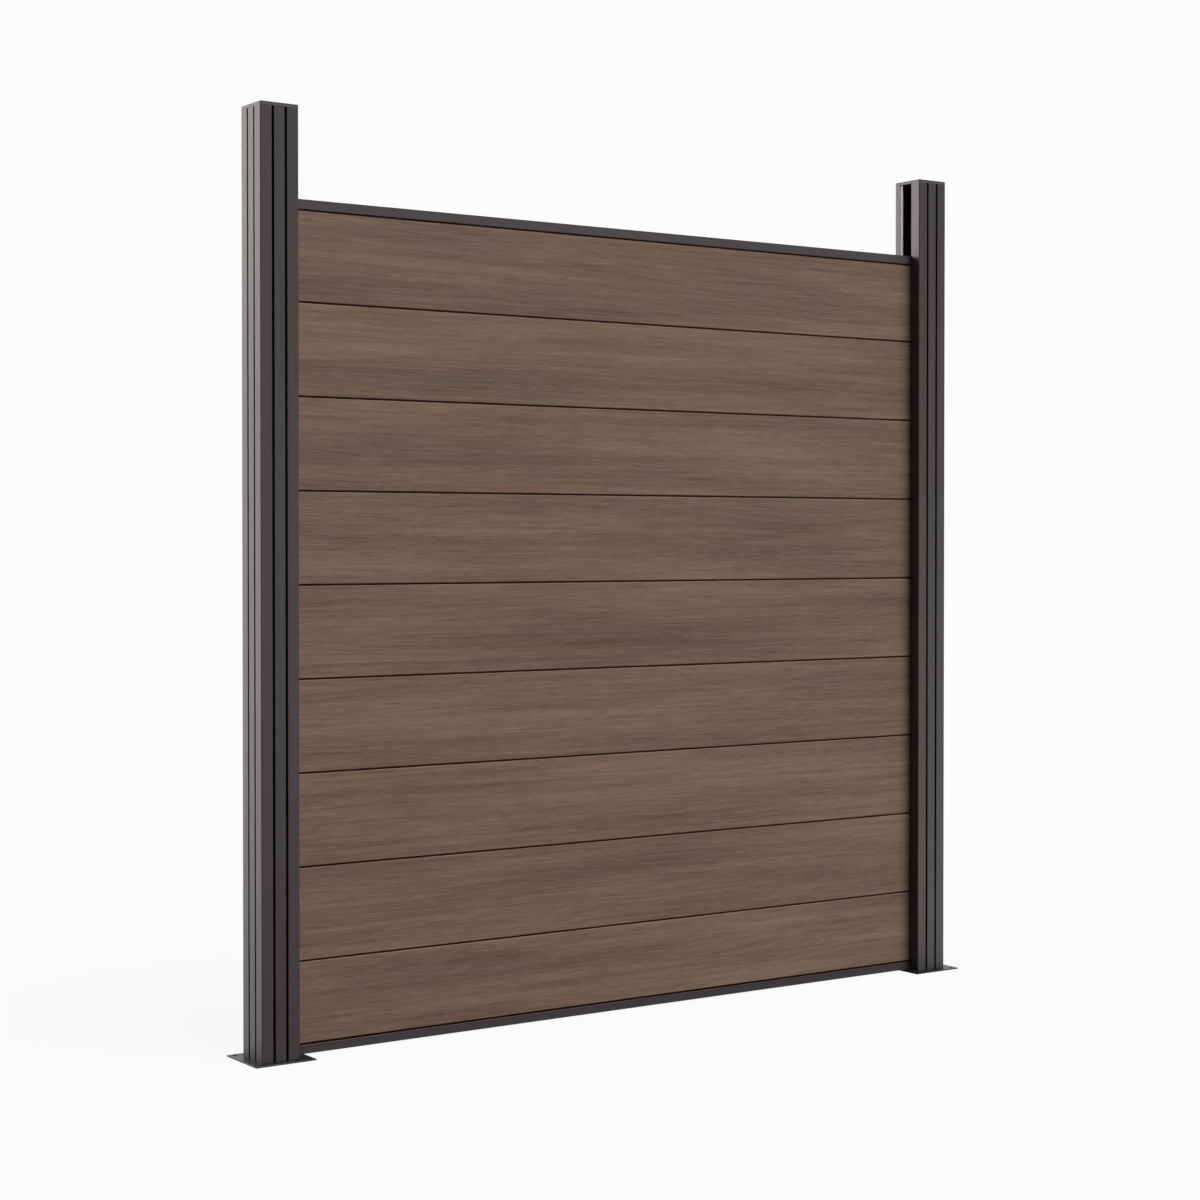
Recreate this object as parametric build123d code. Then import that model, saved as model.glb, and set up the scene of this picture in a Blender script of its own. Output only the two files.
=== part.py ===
from build123d import *
import os

# Composite fence panel: nine hollow boards held between two slotted aluminium posts.
# Millimetres, +Z up. X runs along the panel, -Y is the front, Z = 0 is the ground.

# Panel
board_count = 9
board_pitch = 200.0
panel_opening = 1752.0           # clear width between the two posts

# Posts
post_side = 89.0
post_length = 2000.0
post_wall = 2.2
post_corner_radius = 1.8
slot_depth = 22.0
slot_lip_chamfer = 0.7
cover_slot_width = 35.0          # slots of the three faces that carry a strip
slot_front = -14.5               # front wall of the panel's slot, from the post's middle
clip_groove_inset = 9.0          # post face to the grooves that hold strips and gasket
clip_groove_width = 2.4
clip_groove_depth = 1.0
core_corner = 3.0                # bevel in the inside corners of the middle cell
port_inset = 5.5                 # screw port centre from the post's two outer faces
port_side = 9.0

# Cover strips
strip_side_gap = 5.2             # open line on both sides of a strip
strip_wall = 1.8
strip_edge_radius = 0.6
clip_clearance = 0.2

# Gaskets
gasket_recess = 0.5              # from the post face into the slot
gasket_top_gap = 2.0             # the gaskets stop short of the caps
gasket_lip_width = 8.4
gasket_lip_thickness = 2.4
gasket_edge_radius = 0.8
gasket_body_width = 5.0
gasket_body_depth = 12.0
gasket_wall = 1.0
gasket_hollow_corner = 0.8
gasket_clearance = 0.5           # lip to rail

# Caps
cap_thickness = 7.5
cap_chamfer = 1.5
cap_seam_chamfer = 0.4
cap_plug_depth = 16.0
cap_plug_wall = 2.5
cap_plug_clearance = 0.25

# Base plates
plate_margin = 25.5
plate_thickness = 3.0
plate_edge_chamfer = 0.5
anchor_hole_radius = 5.5
anchor_edge_distance = 12.5

# Base screws
screw_radius = 2.2
screw_head_radius = 4.5
screw_length = 32.0
screw_recess = 0.2
screw_clearance = 0.1

# Boards
board_thickness = 27.0
board_edge_chamfer = 0.8
shadow_gap = 4.0                 # open line that shows between two faces
rebate_depth = 6.5
tongue_width = 8.0
tongue_height = 8.0
tongue_chamfer = 1.0
tongue_clearance = 0.4
tongue_headroom = 1.0
chamber_count = 5
chamber_corner = 3.0
chamber_wall = 5.0               # face wall and webs
solid_below_chambers = 26.0
solid_above_chambers = 14.0
bottom_trim = 1.5                # cut off the lowest board so that it stands in its rail

# Rails
rail_wall = 1.5
rail_edge_radius = 0.7
rail_clearance = 0.3             # board face to rail wall
rail_slot_gap = 0.5              # slot's front wall to rail
bottom_rail_height = 19.0
bottom_rib_height = 10.0
top_rail_height = 20.5
top_rail_drop = 5.0              # how far the skirts hang below the top board's shoulders
slot_end_gap = 3.0               # room at each board end for heat movement

# Sizes that follow
post_half = post_side / 2
post_x = -(panel_opening + post_side) / 2
post_base = plate_thickness
post_top = post_base + post_length
core_side = post_side - 2 * slot_depth
core_hole_side = core_side - 2 * post_wall
port_place = post_half - port_inset
plate_side = post_side + 2 * plate_margin
anchor_spacing = plate_side - 2 * anchor_edge_distance
rail_inside = board_thickness + 2 * rail_clearance
rail_width = rail_inside + 2 * rail_wall
slot_rear = slot_front + rail_slot_gap + rail_width + gasket_clearance + gasket_lip_width
cover_half = cover_slot_width / 2
panel_length = panel_opening + 2 * (slot_depth - slot_end_gap)
panel_y = slot_front + rail_slot_gap + rail_width / 2
rail_floor = plate_thickness + rail_wall
bottom_rail_top = plate_thickness + bottom_rail_height
board_datum = rail_floor - bottom_trim
top_shoulder = board_datum + board_count * board_pitch
neck_width = board_thickness - 2 * rebate_depth

# Each face's frame turns the front face of a post onto that face.
face_frames = {
    "front": Location(),
    "rear": Rot(0, 0, 180),
    "inner": Rot(0, 0, 90),
    "outer": Rot(0, 0, -90),
}


def span(u_low, u_high, v_low, v_high):
    """Rectangle between two corners of a sketch."""
    middle = Pos((u_low + u_high) / 2, (v_low + v_high) / 2)
    return middle * Rectangle(u_high - u_low, v_high - v_low)


def near(value, target):
    return abs(value - target) < 1e-5


def bevelled_square(side, corner):
    square = Rectangle(side, side)
    return chamfer(square.vertices(), corner)


def both_sides(section):
    """A section together with its mirror image across the sketch's upright axis."""
    return section + mirror(section, about=Plane.YZ)


def run_along_panel(section):
    """Stretch a section drawn across the panel to the panel's length."""
    return extrude(Plane.YZ * (Pos(panel_y, 0) * section), amount=panel_length / 2, both=True)


def stand(section, length=post_length):
    """Stretch a section drawn about the post's axis up from the base plate."""
    return Pos(0, 0, post_base) * extrude(section, amount=length)


def slot_section(low, high):
    """Slot cut into the front face between two walls, with the clip groove in both of them."""
    mouth = span(low, high, -post_half, slot_depth - post_half)
    groove_low = low - clip_groove_depth
    groove_high = high + clip_groove_depth
    groove_front = clip_groove_inset - post_half
    return mouth + span(groove_low, groove_high, groove_front, groove_front + clip_groove_width)


def corner_cell(near_x, near_y, corner_x, corner_y):
    """Hollow cell between a post corner and the slots on both sides of it."""
    cell = span(min(near_x, corner_x), max(near_x, corner_x), min(near_y, corner_y), max(near_y, corner_y))
    return cell - Rectangle(core_side, core_side)


def post_section():
    """Square extrusion with a slot in each face, four corner cells, a core and screw ports."""
    section = RectangleRounded(post_side, post_side, post_corner_radius)
    for face in ("front", "rear", "outer"):
        section -= face_frames[face] * slot_section(-cover_half, cover_half)
    section -= face_frames["inner"] * slot_section(slot_front, slot_rear)
    lips = section.vertices().filter_by(
        lambda v: near(max(abs(v.X), abs(v.Y)), post_half)
        and min(abs(v.X), abs(v.Y)) < post_half - 2 * post_corner_radius
    )
    section = chamfer(lips, slot_lip_chamfer)
    wall_inside = post_half - post_wall
    cell_near = cover_half + post_wall
    section -= corner_cell(cell_near, slot_front - post_wall, wall_inside, -wall_inside)
    section -= corner_cell(cell_near, slot_rear + post_wall, wall_inside, wall_inside)
    section -= corner_cell(-cell_near, -cell_near, -wall_inside, -wall_inside)
    section -= corner_cell(-cell_near, cell_near, -wall_inside, wall_inside)
    section -= bevelled_square(core_hole_side, core_corner)
    for place in GridLocations(2 * port_place, 2 * port_place, 2, 2):
        section += place * Rectangle(port_side, port_side)
        section -= place * Circle(screw_radius + screw_clearance)
    return section


def strip_section():
    """Closed box that shows a narrow face and slides along the clip grooves by its flange."""
    flange_front = clip_groove_inset + clip_clearance - post_half
    flange_rear = clip_groove_inset + clip_groove_width - clip_clearance - post_half
    flange_half = cover_half + clip_groove_depth - clip_clearance
    face_half = cover_half - strip_side_gap
    box = span(-face_half, face_half, -post_half, flange_rear)
    face_corners = box.vertices().filter_by(lambda v: near(v.Y, -post_half))
    box = fillet(face_corners, strip_edge_radius)
    box += span(-flange_half, flange_half, flange_front, flange_rear)
    hollow_half = face_half - strip_wall
    return box - span(-hollow_half, hollow_half, strip_wall - post_half, flange_front)


def gasket_section():
    """Lip that closes the panel slot behind the boards, on a hollow body keyed into the rear wall."""
    lip_edge = slot_rear - gasket_lip_width
    body_edge = slot_rear - gasket_body_width
    mouth = gasket_recess - post_half
    body_front = mouth + gasket_lip_thickness
    lip = span(lip_edge, slot_rear, mouth, body_front)
    soft_corners = lip.vertices().filter_by(lambda v: near(v.X, lip_edge))
    gasket = fillet(soft_corners, gasket_edge_radius)
    gasket += span(body_edge, slot_rear, body_front, body_front + gasket_body_depth)
    groove = clip_groove_inset - post_half
    gasket += span(
        slot_rear,
        slot_rear + clip_groove_depth - clip_clearance,
        groove + clip_clearance,
        groove + clip_groove_width - clip_clearance,
    )
    hollow = span(
        body_edge + gasket_wall,
        slot_rear - gasket_wall,
        body_front + gasket_wall,
        body_front + gasket_body_depth - gasket_wall,
    )
    return gasket - chamfer(hollow.vertices(), gasket_hollow_corner)


def countersunk(head_radius, head_bottom, shank_radius):
    """Screw pointing up under a right-angled countersunk head, or the hole for one."""
    outline = Polyline(
        (0, 0, head_bottom),
        (head_radius, 0, head_bottom),
        (shank_radius, 0, head_bottom + head_radius - shank_radius),
        (shank_radius, 0, screw_length),
        (0, 0, screw_length),
        close=True,
    )
    return revolve(make_face(outline), axis=Axis.Z)


def base_screws():
    """Four screws up through the base plate into the post's screw ports."""
    screw = countersunk(screw_head_radius, screw_recess, screw_radius)
    return Compound([place * screw for place in GridLocations(2 * port_place, 2 * port_place, 2, 2)])


def base_plate():
    """Square plate under a post, with four anchor holes and four countersunk screw holes."""
    plate = extrude(Rectangle(plate_side, plate_side), amount=plate_thickness)
    plate = chamfer(plate.edges().group_by(Axis.Z)[-1], plate_edge_chamfer)
    for place in GridLocations(anchor_spacing, anchor_spacing, 2, 2):
        plate -= place * extrude(Circle(anchor_hole_radius), amount=plate_thickness)
    sink_radius = screw_head_radius + screw_recess + screw_clearance
    screw_hole = countersunk(sink_radius, 0, screw_radius + screw_clearance)
    for place in GridLocations(2 * port_place, 2 * port_place, 2, 2):
        plate -= place * screw_hole
    return plate


def post_cap():
    """Flat cap, flush with the post, with a square plug that fits the post's core."""
    cap = extrude(RectangleRounded(post_side, post_side, post_corner_radius), amount=cap_thickness)
    cap = chamfer(cap.edges().group_by(Axis.Z)[-1], cap_chamfer)
    cap = chamfer(cap.edges().group_by(Axis.Z)[0], cap_seam_chamfer)
    plug_side = core_hole_side - 2 * cap_plug_clearance
    bore_side = plug_side - 2 * cap_plug_wall
    ring = bevelled_square(plug_side, core_corner) - Rectangle(bore_side, bore_side)
    cap += extrude(ring, amount=-cap_plug_depth)
    return Pos(0, 0, post_top) * cap


def board_section(index):
    """Hollow tongue-and-groove board; the lowest and the top one are rebated for their rails."""
    nominal_bottom = board_datum + index * board_pitch
    shoulder = nominal_bottom + board_pitch
    is_lowest = index == 0
    is_top = index == board_count - 1
    bottom = rail_floor if is_lowest else nominal_bottom
    face_top = shoulder - shadow_gap - (top_rail_drop if is_top else 0)
    face_bottom = bottom_rail_top + shadow_gap if is_lowest else nominal_bottom
    half = board_thickness / 2
    face = span(-half, half, face_bottom, face_top)
    section = chamfer(face.vertices(), board_edge_chamfer)
    section += span(-neck_width / 2, neck_width / 2, bottom, shoulder)
    tongue = span(-tongue_width / 2, tongue_width / 2, shoulder, shoulder + tongue_height)
    tip = tongue.vertices().group_by(Axis.Y)[-1]
    section += chamfer(tip, tongue_chamfer)
    groove_half = tongue_width / 2 + tongue_clearance
    groove_top = nominal_bottom + tongue_height + tongue_headroom
    section -= span(-groove_half, groove_half, bottom, groove_top)
    hollow_height = board_pitch - solid_below_chambers - solid_above_chambers
    chamber_pitch = (hollow_height + chamber_wall) / chamber_count
    chamber_height = chamber_pitch - chamber_wall
    chamber = Rectangle(board_thickness - 2 * chamber_wall, chamber_height)
    chamber = chamfer(chamber.vertices(), chamber_corner)
    first_middle = nominal_bottom + solid_below_chambers + chamber_height / 2
    for number in range(chamber_count):
        section -= Pos(0, first_middle + number * chamber_pitch) * chamber
    return section


def bottom_rail_section():
    """Channel that rests on both base plates; two ribs hold the lowest board's neck."""
    half = rail_width / 2
    channel = span(-half, half, plate_thickness, bottom_rail_top)
    channel -= span(-rail_inside / 2, rail_inside / 2, rail_floor, bottom_rail_top)
    wall_tops = channel.vertices().filter_by(lambda v: near(abs(v.X), half) and near(v.Y, bottom_rail_top))
    channel = fillet(wall_tops, rail_edge_radius)
    rib_near = neck_width / 2 + rail_clearance
    rib = span(rib_near, rib_near + rail_wall, rail_floor, rail_floor + bottom_rib_height)
    return channel + both_sides(rib)


def top_rail_section():
    """Capping channel whose two ledges stand on the top board's shoulders, beside its tongue."""
    half = rail_width / 2
    skirt_bottom = top_shoulder - top_rail_drop
    rail_top = skirt_bottom + top_rail_height
    roof = rail_top - rail_wall
    channel = span(-half, half, skirt_bottom, rail_top)
    channel -= span(-rail_inside / 2, rail_inside / 2, skirt_bottom, roof)
    top_corners = channel.vertices().filter_by(lambda v: near(v.Y, rail_top))
    channel = fillet(top_corners, rail_edge_radius)
    ledge_middle = (tongue_width + neck_width) / 4
    ledge = span(ledge_middle - rail_wall / 2, ledge_middle + rail_wall / 2, top_shoulder, roof)
    return channel + both_sides(ledge)


# Pieces of one post, drawn about its own axis; the panel's slot is on the inner side.
strip = strip_section()
post_pieces = {
    "post": stand(post_section()),
    "post_cap": post_cap(),
    "base_plate": base_plate(),
    "base_screws": base_screws(),
    "front_cover_strip": stand(face_frames["front"] * strip),
    "rear_cover_strip": stand(face_frames["rear"] * strip),
    "outer_cover_strip": stand(face_frames["outer"] * strip),
    "slot_gasket": stand(face_frames["inner"] * gasket_section(), post_length - gasket_top_gap),
}

nodes = {}
for name, piece in post_pieces.items():
    left_piece = Pos(post_x, 0, 0) * piece
    nodes["left_" + name] = left_piece
    nodes["right_" + name] = mirror(left_piece, about=Plane.YZ)
for index in range(board_count):
    nodes[f"board_{index + 1}"] = run_along_panel(board_section(index))
nodes["bottom_rail"] = run_along_panel(bottom_rail_section())
nodes["top_rail"] = run_along_panel(top_rail_section())

os.makedirs("parts", exist_ok=True)
for name, piece in nodes.items():
    export_step(piece, f"parts/{name}.step")
    print(name)
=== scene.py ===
import math

import bpy
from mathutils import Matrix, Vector


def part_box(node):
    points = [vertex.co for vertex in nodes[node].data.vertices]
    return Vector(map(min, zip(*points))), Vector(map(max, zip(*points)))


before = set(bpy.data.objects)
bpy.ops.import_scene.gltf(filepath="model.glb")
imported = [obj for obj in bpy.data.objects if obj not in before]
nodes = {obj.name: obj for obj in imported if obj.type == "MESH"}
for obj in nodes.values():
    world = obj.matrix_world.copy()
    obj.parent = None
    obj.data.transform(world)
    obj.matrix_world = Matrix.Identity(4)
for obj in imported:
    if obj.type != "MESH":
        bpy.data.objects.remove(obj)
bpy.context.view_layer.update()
print("frame loaded:", len(nodes), "nodes")


def linear(hexColour):
    # sRGB hex to the linear RGBA that a colour socket takes
    channels = [int(hexColour[start:start + 2], 16) / 255 for start in (0, 2, 4)]
    return [c / 12.92 if c <= 0.04045 else ((c + 0.055) / 1.055) ** 2.4 for c in channels] + [1.0]


def perMetre(*millimetres):
    # pattern sizes in mm, as the numbers that object coordinates in metres are multiplied by
    return [1000 / size for size in millimetres]


def addNode(tree, kind, settings=(), links=()):
    # one node; settings go to a property or an input socket, links come in from other nodes' outputs
    # (a Mix of colours has its share in socket 0, its two colours in 6 and 7, and gives output 2)
    node = tree.nodes.new("ShaderNode" + kind)
    for name, value in dict(settings).items():
        if isinstance(name, str) and hasattr(node, name):
            setattr(node, name, value)
        else:
            node.inputs[name].default_value = value
    for name, output in dict(links).items():
        tree.links.new(output, node.inputs[name])
    return node


def newMaterial(name):
    material = bpy.data.materials.new(name)
    material.use_nodes = True
    material.node_tree.nodes.clear()
    return material, material.node_tree


def dress(material, *names):
    # the CAD mesh stays as it is, only its material slots change
    for name in names:
        slots = nodes[name].data.materials
        slots.clear()
        slots.append(material)
    print("  ", material.name, "on", len(names), "nodes")


# Boards

boardStock = {
    "light": "836c5d",              # open wood-flour tone
    "middle": "715b4e",
    "dark": "5d473d",               # the darkest streaks
    "reddish": "fff5f6",            # the two casts that the streaks drift between
    "olive": "f5fff4",
    "core": "633626",               # bare core, seen in the joints behind the capped faces
    "capDepth": 0.78,               # mm of each face that carry the cap colour
    "roughness": 0.62,              # brushed and embossed polymer skin
    "roughSpread": 0.06,            # dark streaks are duller by this, light ones shinier
    "ior": 1.5,
    "specular": 0.3,                # brush marks swallow part of the shine
    "embossDepth": 0.25,            # mm
    "embossStrength": 0.5,
    "lotStep": 7.37,                # how far on in the noise the next board is taken from

    # noise layers of the grain: length, depth and height in mm, then detail and roughness
    "sway": (650, 60, 130, 2, 0.5),     # slow sway of the lines
    "cloud": (850, 80, 80, 2, 0.5),     # broad patches of darker stain
    "band": (1100, 60, 24, 3, 0.55),    # soft tone bands that run most of a board's length
    "ring": (520, 60, 75, 1, 0.5),      # how far the ring lines stay level
    "streak": (345, 30, 8, 3, 0.6),     # streaks of the printed grain
    "fine": (102, 20, 3.2, 2, 0.5),     # brush lines; real ones are about 1 mm, coarser here to show
    "pore": (24, 20, 1.4, 1, 0.5),      # pores, seen from close by
    "dash": (48, 30, 3.4, 1, 0.5),      # short dark flecks
    "patch": (380, 60, 45, 1, 0.5),     # where such flecks gather
    "drift": (900, 80, 70, 3, 0.7),     # where the cast changes, in broad patches
    "cast": (90, 30, 5, 2, 0.7),        # and from streak to streak

    "swayReach": 7,                 # mm the sway lifts or drops a line
    "ringPitch": 15,                # mm between ring lines
    "ringPush": 9,                  # radians the ring lines are pushed about by
    "ringSwing": (0.35, 0.65),      # their dark and light sides
    "castShare": 1.6,               # cast from streak to streak, against the broad drift
    "castSpan": (1.03, 1.57),       # from fully reddish to fully olive
    "dashSpan": (0.6, 0.78),        # noise level where a fleck starts and where it is full
    "dashShade": 0.8,               # how much of the darkest tone a full fleck takes
    "patchSpan": (0.48, 0.62),      # noise level where flecks start to gather and where all show

    # share of each layer in the tone; lot is how far whole boards differ
    "shares": {
        "cloud": 1.15, "band": 0.89, "ring": 0.15, "streak": 0.80, "fine": 1.03, "pore": 0.95, "lot": 0.05,
    },
}


def woodComposite(name, stock, middleY, halfDepth, datum, pitch):
    # co-extruded wood-plastic composite with a brushed, embossed cap: a dull brown with long
    # soft streaks, each board from another length of stock, and a dark core in the joints
    material, tree = newMaterial(name)
    place = addNode(tree, "TexCoord").outputs["Object"]
    axes = addNode(tree, "SeparateXYZ", links={0: place})
    fromDatum = addNode(tree, "Math", {"operation": "SUBTRACT", 1: datum}, {0: axes.outputs["Z"]})
    boards = addNode(tree, "Math", {"operation": "DIVIDE", 1: pitch}, {0: fromDatum.outputs[0]})
    number = addNode(tree, "Math", {"operation": "FLOOR"}, {0: boards.outputs[0]}).outputs[0]
    seed = addNode(tree, "Math", {"operation": "MULTIPLY", 1: stock["lotStep"]}, {0: number}).outputs[0]

    def grain(layer, source):
        *size, detail, roughness = stock[layer]
        scaled = addNode(tree, "VectorMath", {"operation": "MULTIPLY", 1: perMetre(*size)}, {0: source})
        return addNode(
            tree, "TexNoise",
            {"noise_dimensions": "4D", "Scale": 1, "Detail": detail, "Roughness": roughness},
            {"Vector": scaled.outputs[0], "W": seed},
        ).outputs["Fac"]

    reach = stock["swayReach"] / 1000
    lift = addNode(
        tree, "MapRange",
        {"clamp": False, "To Min": -reach, "To Max": reach},
        {"Value": grain("sway", place)},
    )
    liftVector = addNode(tree, "CombineXYZ", links={"Z": lift.outputs[0]})
    swayed = addNode(
        tree, "VectorMath", {"operation": "ADD"}, {0: place, 1: liftVector.outputs[0]},
    ).outputs[0]

    # ring lines: the height, pushed about by a slow noise, through a sine
    push = stock["ringPush"]
    pushed = addNode(
        tree, "MapRange",
        {"clamp": False, "To Min": -push, "To Max": push},
        {"Value": grain("ring", swayed)},
    )
    turns = addNode(
        tree, "Math", {"operation": "MULTIPLY_ADD", 1: 2 * math.pi * perMetre(stock["ringPitch"])[0]},
        {0: axes.outputs["Z"], 2: pushed.outputs[0]},
    )
    wave = addNode(tree, "Math", {"operation": "SINE"}, {0: turns.outputs[0]})
    ringDark, ringLight = stock["ringSwing"]

    # the tone adds up the layers, each about its own middle of 0.5
    layers = {layer: grain(layer, swayed) for layer in ("cloud", "band", "streak", "fine", "pore")}
    layers["ring"] = addNode(
        tree, "MapRange",
        {"From Min": -1, "To Min": ringDark, "To Max": ringLight},
        {"Value": wave.outputs[0]},
    ).outputs[0]
    layers["lot"] = addNode(
        tree, "TexWhiteNoise", {"noise_dimensions": "1D"}, {"W": number},
    ).outputs["Value"]
    tone = None
    for layer, share in stock["shares"].items():
        centred = addNode(tree, "Math", {"operation": "SUBTRACT", 1: 0.5}, {0: layers[layer]}).outputs[0]
        links = {0: centred} if tone is None else {0: centred, 2: tone}
        tone = addNode(tree, "Math", {"operation": "MULTIPLY_ADD", 1: share, 2: 0.5}, links).outputs[0]
    ramp = addNode(tree, "ValToRGB", links={0: tone})
    stops = ramp.color_ramp.elements
    stops[0].position, stops[0].color = 0.0, linear(stock["dark"])
    stops[1].position, stops[1].color = 1.0, linear(stock["light"])
    stops.new(0.5).color = linear(stock["middle"])

    casts = addNode(
        tree, "Math", {"operation": "MULTIPLY_ADD", 1: stock["castShare"]},
        {0: grain("cast", swayed), 2: grain("drift", swayed)},
    ).outputs[0]
    allRed, allOlive = stock["castSpan"]
    turned = addNode(tree, "MapRange", {"From Min": allRed, "From Max": allOlive}, {"Value": casts})
    hue = addNode(
        tree, "Mix",
        {"data_type": "RGBA", 6: linear(stock["reddish"]), 7: linear(stock["olive"])},
        {0: turned.outputs[0]},
    ).outputs[2]
    tinted = addNode(
        tree, "Mix", {"data_type": "RGBA", "blend_type": "MULTIPLY", 0: 1}, {6: ramp.outputs[0], 7: hue},
    ).outputs[2]

    dashStart, dashFull = stock["dashSpan"]
    fleck = addNode(
        tree, "MapRange",
        {"From Min": dashStart, "From Max": dashFull, "To Max": stock["dashShade"]},
        {"Value": grain("dash", swayed)},
    ).outputs[0]
    patchStart, patchFull = stock["patchSpan"]
    gathered = addNode(
        tree, "MapRange", {"From Min": patchStart, "From Max": patchFull}, {"Value": grain("patch", swayed)},
    ).outputs[0]
    flecks = addNode(tree, "Math", {"operation": "MULTIPLY"}, {0: fleck, 1: gathered}).outputs[0]
    capColour = addNode(
        tree, "Mix", {"data_type": "RGBA", 7: linear(stock["dark"])}, {0: flecks, 6: tinted},
    ).outputs[2]

    # the cap covers the outer skin of both faces, and the core shows below it
    offMiddle = addNode(tree, "Math", {"operation": "SUBTRACT", 1: middleY}, {0: axes.outputs["Y"]})
    depth = addNode(tree, "Math", {"operation": "ABSOLUTE"}, {0: offMiddle.outputs[0]})
    capFrom = halfDepth - stock["capDepth"] / 1000
    capped = addNode(tree, "Math", {"operation": "GREATER_THAN", 1: capFrom}, {0: depth.outputs[0]})
    colour = addNode(
        tree, "Mix", {"data_type": "RGBA", 6: linear(stock["core"])}, {0: capped.outputs[0], 7: capColour},
    ).outputs[2]
    dull, shiny = stock["roughness"] + stock["roughSpread"], stock["roughness"] - stock["roughSpread"]
    rough = addNode(tree, "MapRange", {"To Min": dull, "To Max": shiny}, {"Value": tone}).outputs[0]
    relief = addNode(tree, "Math", {"operation": "ADD"}, {0: layers["fine"], 1: layers["streak"]}).outputs[0]
    emboss = addNode(
        tree, "Bump",
        {"Strength": stock["embossStrength"], "Distance": stock["embossDepth"] / 1000},
        {"Height": relief},
    ).outputs[0]
    skin = addNode(
        tree, "BsdfPrincipled", {"IOR": stock["ior"], "Specular IOR Level": stock["specular"]},
        {"Base Color": colour, "Roughness": rough, "Normal": emboss},
    )
    addNode(tree, "OutputMaterial", links={"Surface": skin.outputs[0]})
    return material


boardNames = [name for name in nodes if name.startswith("board_")]
boardLow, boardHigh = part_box("board_2")
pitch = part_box("board_3")[0].z - boardLow.z
dress(
    woodComposite(
        "coExtrudedWoodComposite", boardStock,
        (boardLow.y + boardHigh.y) / 2, (boardHigh.y - boardLow.y) / 2, boardLow.z - pitch, pitch,
    ),
    *boardNames,
)
print("boards:", len(boardNames), "at", round(pitch * 1000), "mm pitch")


# Coated metal

coat = {
    "colour": "393534",         # dark bronze grey
    "fleck": "423e3d",          # where the powder lies thinner
    "fleckSpan": (0.7, 1.3),    # die marks and orange peel added up, from no fleck to full fleck
    "roughness": 0.46,
    "roughSpread": 0.04,        # flecks are duller by this, the rest is shinier
    "ior": 1.5,
    "specular": 0.5,            # the plain shine of a baked resin
    "peel": 1.6,                # mm, orange peel; real waves are about 1 mm, drawn a little coarser
    "peelDetail": 1,
    "peelDepth": 0.03,          # mm
    "dieLine": 2.2,             # mm between the drawing marks of the extrusion under the coat
    "dieLineRun": 900,          # mm such a mark goes on for
    "dieDetail": 2,
    "dieJitter": 0.6,           # roughness of the marks' noise
    "dieDepth": 0.02,           # mm
    "bumpStrength": 0.5,
    "recessShade": "131111",         # painted shade: slots and clip edges, darkened for the shade that falls in them
    "faceDepth": 0.3,           # mm below the faces, from where on the painted shade shows
}
# painted light and shade: the top rail's coat is a lighter copy of the posts' coat and the bottom rail's a
# darker copy, for how light falls on each
litRailCoat = dict(coat, colour="3d3938", fleck="464140")
shadedSillCoat = dict(coat, colour="342f2e", fleck="3c3837")
# caps from another batch of powder, with painted shade along the top bevel; plates smoother, with painted
# shade over the top
# (the drop is the mm below the top of the piece from where on the painted shade shows)
capCoat = dict(coat, colour="504a48", fleck="595250", topShade="141211", topShadeDrop=2.6)
plateCoat = dict(coat, roughness=0.34, specular=0.36, topShade="131111", topShadeDrop=0.6)


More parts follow.
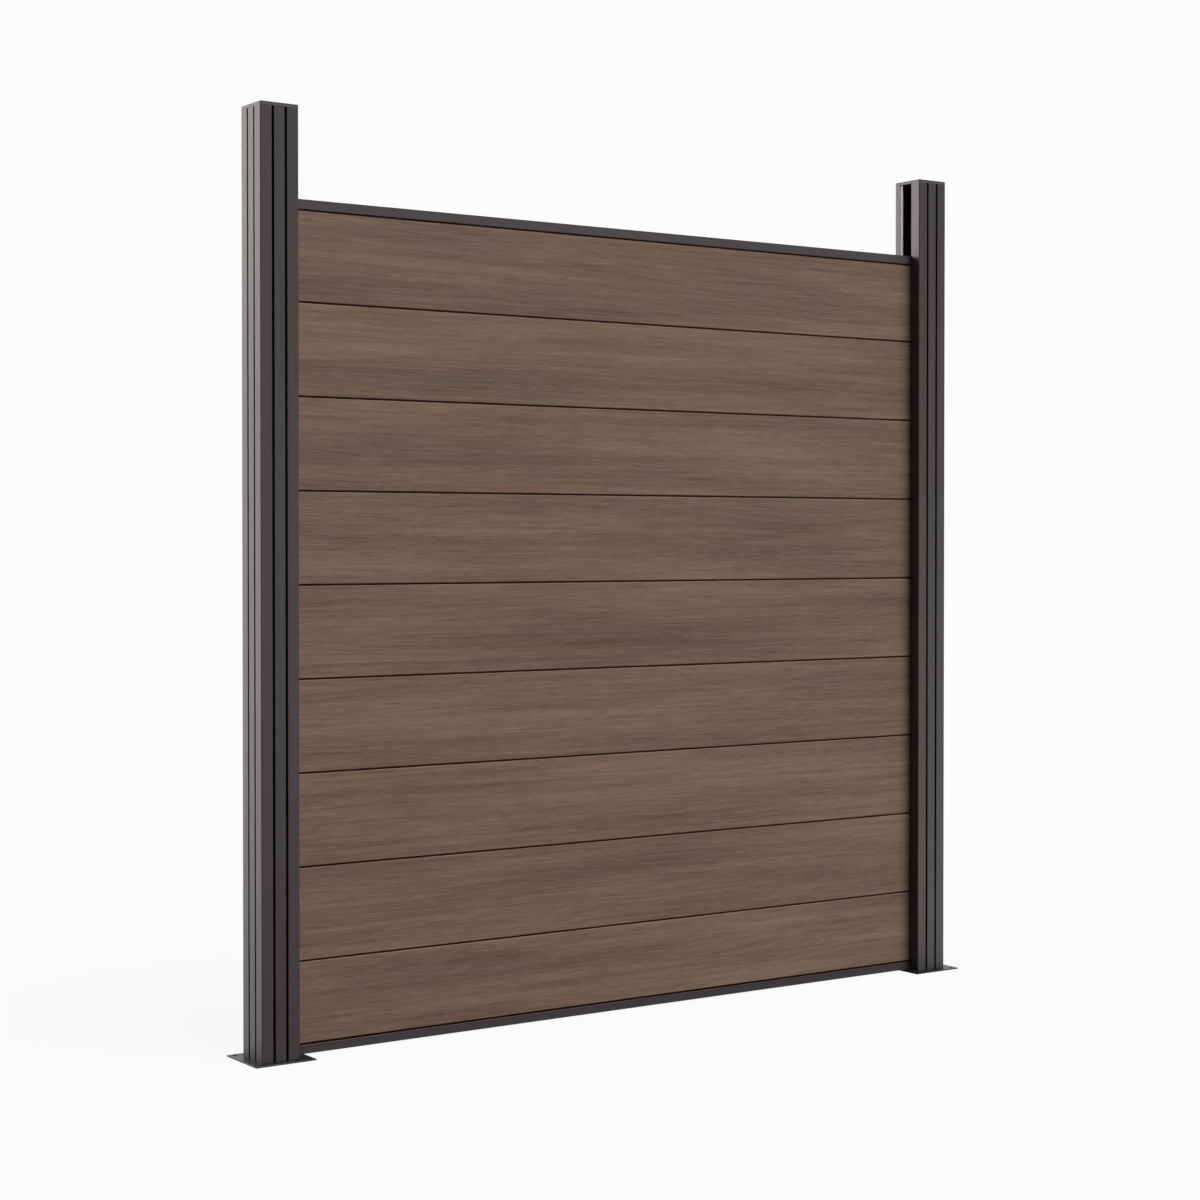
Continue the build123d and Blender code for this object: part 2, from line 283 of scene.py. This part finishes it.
def powderCoat(name, finish, run=None, top=None, square=None):
    # polyester powder baked onto metal: a dark satin skin with a faint orange peel, and under it
    # the drawing marks of an extrusion along the axis run; a piece with a top gets painted shade
    # along its top, and a square post (its middle, half its side) gets painted shade below its four faces
    material, tree = newMaterial(name)
    place = addNode(tree, "TexCoord").outputs["Object"]
    sizes = [finish["dieLine"]] * 3
    if run is not None:
        sizes["xyz".index(run)] = finish["dieLineRun"]
    lineScale = addNode(tree, "VectorMath", {"operation": "MULTIPLY", 1: perMetre(*sizes)}, {0: place})
    dieMarks = addNode(
        tree, "TexNoise",
        {"Scale": 1, "Detail": finish["dieDetail"], "Roughness": finish["dieJitter"]},
        {"Vector": lineScale.outputs[0]},
    ).outputs["Fac"]
    peelMarks = addNode(
        tree, "TexNoise",
        {"Scale": perMetre(finish["peel"])[0], "Detail": finish["peelDetail"]},
        {"Vector": place},
    ).outputs["Fac"]
    mottle = addNode(tree, "Math", {"operation": "ADD"}, {0: dieMarks, 1: peelMarks}).outputs[0]
    noFleck, fullFleck = finish["fleckSpan"]
    share = addNode(
        tree, "MapRange", {"From Min": noFleck, "From Max": fullFleck}, {"Value": mottle},
    ).outputs[0]
    colour = addNode(
        tree, "Mix",
        {"data_type": "RGBA", 6: linear(finish["colour"]), 7: linear(finish["fleck"])},
        {0: share},
    ).outputs[2]
    axes = addNode(tree, "SeparateXYZ", links={0: place})
    # painted shade: the cap's top bevel and the plate's top turn dark as if in shade
    if top is not None:
        topShadeFrom = top - finish["topShadeDrop"] / 1000
        inTopShade = addNode(tree, "Math", {"operation": "GREATER_THAN", 1: topShadeFrom}, {0: axes.outputs["Z"]})
        colour = addNode(
            tree, "Mix", {"data_type": "RGBA", 7: linear(finish["topShade"])}, {0: inTopShade.outputs[0], 6: colour},
        ).outputs[2]
    # painted shade: all that lies deeper than a fraction of a mm below the four faces, in slots and grooves,
    # takes a dark shade colour
    if square is not None:
        middle, half = square
        shadeFrom = half - finish["faceDepth"] / 1000
        sideways = addNode(tree, "Math", {"operation": "ABSOLUTE"}, {0: axes.outputs["X"]}).outputs[0]
        fromMiddle = addNode(tree, "Math", {"operation": "SUBTRACT", 1: middle}, {0: sideways}).outputs[0]
        offX = addNode(tree, "Math", {"operation": "ABSOLUTE"}, {0: fromMiddle}).outputs[0]
        offY = addNode(tree, "Math", {"operation": "ABSOLUTE"}, {0: axes.outputs["Y"]}).outputs[0]
        outward = addNode(tree, "Math", {"operation": "MAXIMUM"}, {0: offX, 1: offY}).outputs[0]
        inShade = addNode(tree, "Math", {"operation": "LESS_THAN", 1: shadeFrom}, {0: outward}).outputs[0]
        colour = addNode(
            tree, "Mix", {"data_type": "RGBA", 7: linear(finish["recessShade"])}, {0: inShade, 6: colour},
        ).outputs[2]
    shiny, dull = finish["roughness"] - finish["roughSpread"], finish["roughness"] + finish["roughSpread"]
    rough = addNode(tree, "MapRange", {"To Min": shiny, "To Max": dull}, {"Value": share}).outputs[0]
    drawn = addNode(
        tree, "Bump",
        {"Strength": finish["bumpStrength"], "Distance": finish["dieDepth"] / 1000},
        {"Height": dieMarks},
    ).outputs[0]
    peeled = addNode(
        tree, "Bump",
        {"Strength": finish["bumpStrength"], "Distance": finish["peelDepth"] / 1000},
        {"Height": peelMarks, "Normal": drawn},
    ).outputs[0]
    skin = addNode(
        tree, "BsdfPrincipled", {"IOR": finish["ior"], "Specular IOR Level": finish["specular"]},
        {"Base Color": colour, "Roughness": rough, "Normal": peeled},
    )
    addNode(tree, "OutputMaterial", links={"Surface": skin.outputs[0]})
    return material


sides = ("left_", "right_")
stripFaces = ("front", "rear", "outer")
postLow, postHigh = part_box("right_post")
postSquare = ((postLow.x + postHigh.x) / 2, (postHigh.x - postLow.x) / 2)
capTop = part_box("left_post_cap")[1].z
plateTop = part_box("left_base_plate")[1].z
dress(
    powderCoat("powderCoatedPostExtrusion", coat, run="z", square=postSquare),
    *[side + "post" for side in sides],
)
dress(
    powderCoat("powderCoatedStripExtrusion", coat, run="z", square=postSquare),
    *[side + face + "_cover_strip" for side in sides for face in stripFaces],
)
dress(powderCoat("powderCoatedRailExtrusion", litRailCoat, run="x"), "top_rail")
dress(powderCoat("powderCoatedSillExtrusion", shadedSillCoat, run="x"), "bottom_rail")
dress(powderCoat("powderCoatedCapCasting", capCoat, top=capTop), *[side + "post_cap" for side in sides])
dress(powderCoat("powderCoatedSteelPlate", plateCoat, top=plateTop), *[side + "base_plate" for side in sides])
print("coated metal: posts, strips, rails, caps and plates")


# Gaskets

gasketRubber = {
    "lip": "c4c4c6",            # pale soft lip
    "lipShade": "b6b6b9",
    "shadedCarrier": "111111",        # stiff black body behind it; its black also stands in as painted shade inside the slot
    "lipDepth": 2.9,            # mm from the post's face to the back of the lip
    "roughness": 0.55,
    "ior": 1.5,
    "cloud": 3.0,               # mm, size of the pale and the shaded spots
    "cloudDetail": 2,
}


def softGasket(name, rubber, face):
    # two rubbers extruded as one strip: a pale matt lip with a faint cloudiness, on a black body whose black
    # also serves as painted shade deep in the slot
    material, tree = newMaterial(name)
    place = addNode(tree, "TexCoord").outputs["Object"]
    axes = addNode(tree, "SeparateXYZ", links={0: place})
    sideways = addNode(tree, "Math", {"operation": "ABSOLUTE"}, {0: axes.outputs["X"]}).outputs[0]
    bodyFrom = face + rubber["lipDepth"] / 1000
    isBody = addNode(tree, "Math", {"operation": "GREATER_THAN", 1: bodyFrom}, {0: sideways}).outputs[0]
    cloud = addNode(
        tree, "TexNoise",
        {"Scale": perMetre(rubber["cloud"])[0], "Detail": rubber["cloudDetail"]},
        {"Vector": place},
    ).outputs["Fac"]
    pale = addNode(
        tree, "Mix",
        {"data_type": "RGBA", 6: linear(rubber["lipShade"]), 7: linear(rubber["lip"])},
        {0: cloud},
    ).outputs[2]
    colour = addNode(
        tree, "Mix", {"data_type": "RGBA", 7: linear(rubber["shadedCarrier"])}, {0: isBody, 6: pale},
    ).outputs[2]
    skin = addNode(
        tree, "BsdfPrincipled", {"IOR": rubber["ior"], "Roughness": rubber["roughness"]},
        {"Base Color": colour},
    )
    addNode(tree, "OutputMaterial", links={"Surface": skin.outputs[0]})
    return material


innerFace = postLow.x           # the face of the right post that looks at the boards
dress(
    softGasket("coExtrudedRubberGasket", gasketRubber, innerFace),
    *[side + "slot_gasket" for side in sides],
)
print("gaskets:", len(sides), "with a pale lip on a black body")


# Screws

screwSteel = {
    "colour": "b9b7b1",
    "stain": "9c9a93",          # where the film is thicker
    "roughness": 0.3,
    "film": 0.6,                # mm, size of the clouds in the film
    "filmDetail": 3,
}


def headedSteel(name, steel):
    # stainless steel, cold headed: bright metal with a slight cloudy film
    material, tree = newMaterial(name)
    place = addNode(tree, "TexCoord").outputs["Object"]
    film = addNode(
        tree, "TexNoise",
        {"Scale": perMetre(steel["film"])[0], "Detail": steel["filmDetail"]},
        {"Vector": place},
    ).outputs["Fac"]
    colour = addNode(
        tree, "Mix",
        {"data_type": "RGBA", 6: linear(steel["stain"]), 7: linear(steel["colour"])},
        {0: film},
    ).outputs[2]
    skin = addNode(
        tree, "BsdfPrincipled", {"Metallic": 1, "Roughness": steel["roughness"]}, {"Base Color": colour},
    )
    addNode(tree, "OutputMaterial", links={"Surface": skin.outputs[0]})
    return material


dress(headedSteel("coldHeadedStainlessSteel", screwSteel), *[side + "base_screws" for side in sides])
print("screws:", len(sides), "groups under the plates")


# Studio

studio = {
    "white": "fcfcfc",
    "leftFill": 0.04,           # world light from the left and from the right
    "rightFill": 0.45,
    "fillTurn": (-0.6, 0.8),    # X of the direction, from the left fill to the right fill
    "frontGloss": 0.12,         # what a shiny face sees of the dim front of the room
    "frontTurn": (-0.1, 0.5),   # Y of the direction, from the dim front to the white back
    "ceilingGloss": 0.12,       # and of its ceiling
    "ceilingTurn": (0.35, 0.65),    # Z of the direction, from the walls to the ceiling
    "floorColour": "545454",    # paper as it lights the object
    "sheet": "a9a9a9",          # lamp light on it that shiny faces see
    "sheetBehind": (-0.05, 0.12),   # m along Y, from dim paper in front to white paper behind
    "sheetBeside": (0.9, 1.1),  # m along X, from dim paper to white paper on the right
    "floorShown": "2e2e2e",     # share of it that shows lamp light and shadow to the camera
    "floorGlow": 0.945,         # the rest of its white
    "shadowFade": (1.3, 2.6),   # m from the middle, over which the floor fades to plain white
    "floorHalf": 30,            # m
}
backTint = "fff1f0"             # the lamps behind the panel are a touch pink
lamps = {
    "keySun": {
        "kind": "SUN", "azimuth": 24, "elevation": 58, "spread": 36, "level": 4.64, "colour": "ffffff",
    },
    "backHigh": {
        "kind": "AREA", "at": (-2.9, 4.2, 3.2), "aim": (-0.1, 0, 3.2), "size": (6.0, 3.2), "watts": 149,
        "colour": backTint,
    },
    "backLow": {
        "kind": "AREA", "at": (-2.9, 4.2, 0.8), "aim": (-0.1, 0, 0.8), "size": (6.0, 1.6), "watts": 56,
        "colour": backTint,
    },
    "backNear": {
        "kind": "AREA", "at": (-0.75, 1.9, 2.3), "aim": (0.9, 0, 2.0), "size": (1.3, 0.9), "watts": 19,
        "colour": backTint,
    },
}


def paintWorld(room):
    # plain white to the camera, a fill from the right to matt faces, and to shiny faces
    # a white back wall with a dim front and ceiling
    world = bpy.data.worlds.new("whiteStudio")
    world.use_nodes = True
    bpy.context.scene.world = world
    tree = world.node_tree
    tree.nodes.clear()
    ray = addNode(tree, "LightPath")
    direction = addNode(tree, "TexCoord").outputs["Generated"]
    axes = addNode(tree, "SeparateXYZ", links={0: direction})
    front, back = room["frontTurn"]
    wallLevel = addNode(
        tree, "MapRange",
        {"From Min": front, "From Max": back, "To Min": room["frontGloss"], "To Max": 1},
        {"Value": axes.outputs["Y"]},
    ).outputs[0]
    wall, ceiling = room["ceilingTurn"]
    ceilingLevel = addNode(
        tree, "MapRange",
        {"From Min": wall, "From Max": ceiling, "To Min": 1, "To Max": room["ceilingGloss"]},
        {"Value": axes.outputs["Z"]},
    ).outputs[0]
    glossLevel = addNode(
        tree, "Math", {"operation": "MULTIPLY"}, {0: wallLevel, 1: ceilingLevel},
    ).outputs[0]
    left, right = room["fillTurn"]
    fillLevel = addNode(
        tree, "MapRange",
        {"From Min": left, "From Max": right, "To Min": room["leftFill"], "To Max": room["rightFill"]},
        {"Value": axes.outputs["X"]},
    ).outputs[0]
    white = linear(room["white"])
    fill = addNode(tree, "Background", {"Color": white}, {"Strength": fillLevel})
    mirrored = addNode(tree, "Background", {"Color": white}, {"Strength": glossLevel})
    seen = addNode(tree, "Background", {"Color": white, "Strength": 1})
    shiny = addNode(
        tree, "Math", {"operation": "MAXIMUM"},
        {0: ray.outputs["Is Glossy Ray"], 1: ray.outputs["Is Transmission Ray"]},
    ).outputs[0]
    light = addNode(tree, "MixShader", links={0: shiny, 1: fill.outputs[0], 2: mirrored.outputs[0]})
    whole = addNode(
        tree, "MixShader",
        links={0: ray.outputs["Is Camera Ray"], 1: light.outputs[0], 2: seen.outputs[0]},
    )
    addNode(tree, "OutputWorld", links={"Surface": whole.outputs[0]})


def layFloor(room):
    # studio paper: white to the camera but for the panel's shadow, and grey as it lights the panel
    half = room["floorHalf"]
    corners = [(-half, -half, 0), (half, -half, 0), (half, half, 0), (-half, half, 0)]
    mesh = bpy.data.meshes.new("studioFloor")
    mesh.from_pydata(corners, [], [(0, 1, 2, 3)])
    floor = bpy.data.objects.new("studioFloor", mesh)
    bpy.context.scene.collection.objects.link(floor)
    material, tree = newMaterial("palePaper")
    ray = addNode(tree, "LightPath")
    place = addNode(tree, "TexCoord").outputs["Object"]
    distance = addNode(tree, "VectorMath", {"operation": "LENGTH"}, {0: place}).outputs["Value"]
    shadowNear, shadowFar = room["shadowFade"]
    fade = addNode(
        tree, "MapRange",
        {"interpolation_type": "SMOOTHSTEP", "From Min": shadowNear, "From Max": shadowFar},
        {"Value": distance},
    ).outputs[0]
    white = linear(room["white"])
    paper = addNode(tree, "BsdfDiffuse", {"Color": linear(room["floorColour"])})
    shaded = addNode(tree, "BsdfDiffuse", {"Color": linear(room["floorShown"])})
    glow = addNode(tree, "Emission", {"Color": white, "Strength": room["floorGlow"]})
    plain = addNode(tree, "Emission", {"Color": white, "Strength": 1})
    near = addNode(tree, "AddShader", links={0: shaded.outputs[0], 1: glow.outputs[0]})
    shown = addNode(tree, "MixShader", links={0: fade, 1: near.outputs[0], 2: plain.outputs[0]})

    # shiny faces see white paper behind the panel and to its right, and dimmer paper in front of it
    axes = addNode(tree, "SeparateXYZ", links={0: place})
    inFront, toBack = room["sheetBehind"]
    behind = addNode(
        tree, "MapRange", {"From Min": inFront, "From Max": toBack}, {"Value": axes.outputs["Y"]},
    ).outputs[0]
    inLine, toRight = room["sheetBeside"]
    beside = addNode(
        tree, "MapRange", {"From Min": inLine, "From Max": toRight}, {"Value": axes.outputs["X"]},
    ).outputs[0]
    bright = addNode(tree, "Math", {"operation": "MAXIMUM"}, {0: behind, 1: beside}).outputs[0]
    glossy = addNode(
        tree, "Math", {"operation": "MULTIPLY"}, {0: ray.outputs["Is Glossy Ray"], 1: bright},
    ).outputs[0]
    sheet = addNode(tree, "BsdfDiffuse", {"Color": linear(room["sheet"])})
    lit = addNode(tree, "AddShader", links={0: sheet.outputs[0], 1: plain.outputs[0]})
    mirrored = addNode(tree, "MixShader", links={0: glossy, 1: paper.outputs[0], 2: lit.outputs[0]})
    whole = addNode(
        tree, "MixShader",
        links={0: ray.outputs["Is Camera Ray"], 1: mirrored.outputs[0], 2: shown.outputs[0]},
    )
    addNode(tree, "OutputMaterial", links={"Surface": whole.outputs[0]})
    mesh.materials.append(material)


def hangLamps(settings):
    for name, lamp in settings.items():
        data = bpy.data.lights.new(name, lamp["kind"])
        data.color = linear(lamp["colour"])[:3]
        holder = bpy.data.objects.new(name, data)
        if lamp["kind"] == "SUN":
            data.energy = lamp["level"]
            data.angle = math.radians(lamp["spread"])
            turn = math.radians(lamp["azimuth"])     # to the right of straight in front
            rise = math.radians(lamp["elevation"])
            towards = (-math.sin(turn) * math.cos(rise), math.cos(turn) * math.cos(rise), -math.sin(rise))
        else:
            data.shape = "RECTANGLE"
            data.size, data.size_y = lamp["size"]
            data.energy = lamp["watts"]
            holder.location = lamp["at"]
            towards = [end - start for end, start in zip(lamp["aim"], lamp["at"])]
        holder.rotation_euler = Vector(towards).to_track_quat("-Z", "Y").to_euler()
        holder.visible_camera = False
        bpy.context.scene.collection.objects.link(holder)


paintWorld(studio)
layFloor(studio)
hangLamps(lamps)
print("studio:", len(lamps), "lamps, white floor")


# Camera

photoView = {
    "place": (-3.1362, -4.4224, 1.0933),    # m
    "yaw": -34.729,             # degrees from looking straight along +Y
    "pitch": -0.791,            # degrees from level
    "lens": 69.631,             # mm
    "sensor": 36,               # mm
    "frame": 1200,              # px, side of the photograph
    "axis": (601.62, 573.69),   # px where the optical axis meets the photograph
}


def placeCamera(view):
    data = bpy.data.cameras.new("photoCamera")
    data.lens = view["lens"]
    data.sensor_width = view["sensor"]
    data.shift_x = 0.5 - view["axis"][0] / view["frame"]
    data.shift_y = view["axis"][1] / view["frame"] - 0.5
    camera = bpy.data.objects.new("photoCamera", data)
    camera.location = view["place"]
    camera.rotation_euler = (math.radians(90 + view["pitch"]), 0, math.radians(view["yaw"]))
    bpy.context.scene.collection.objects.link(camera)
    bpy.context.scene.camera = camera


placeCamera(photoView)
bpy.context.scene.view_settings.view_transform = "Standard"
print("camera placed")
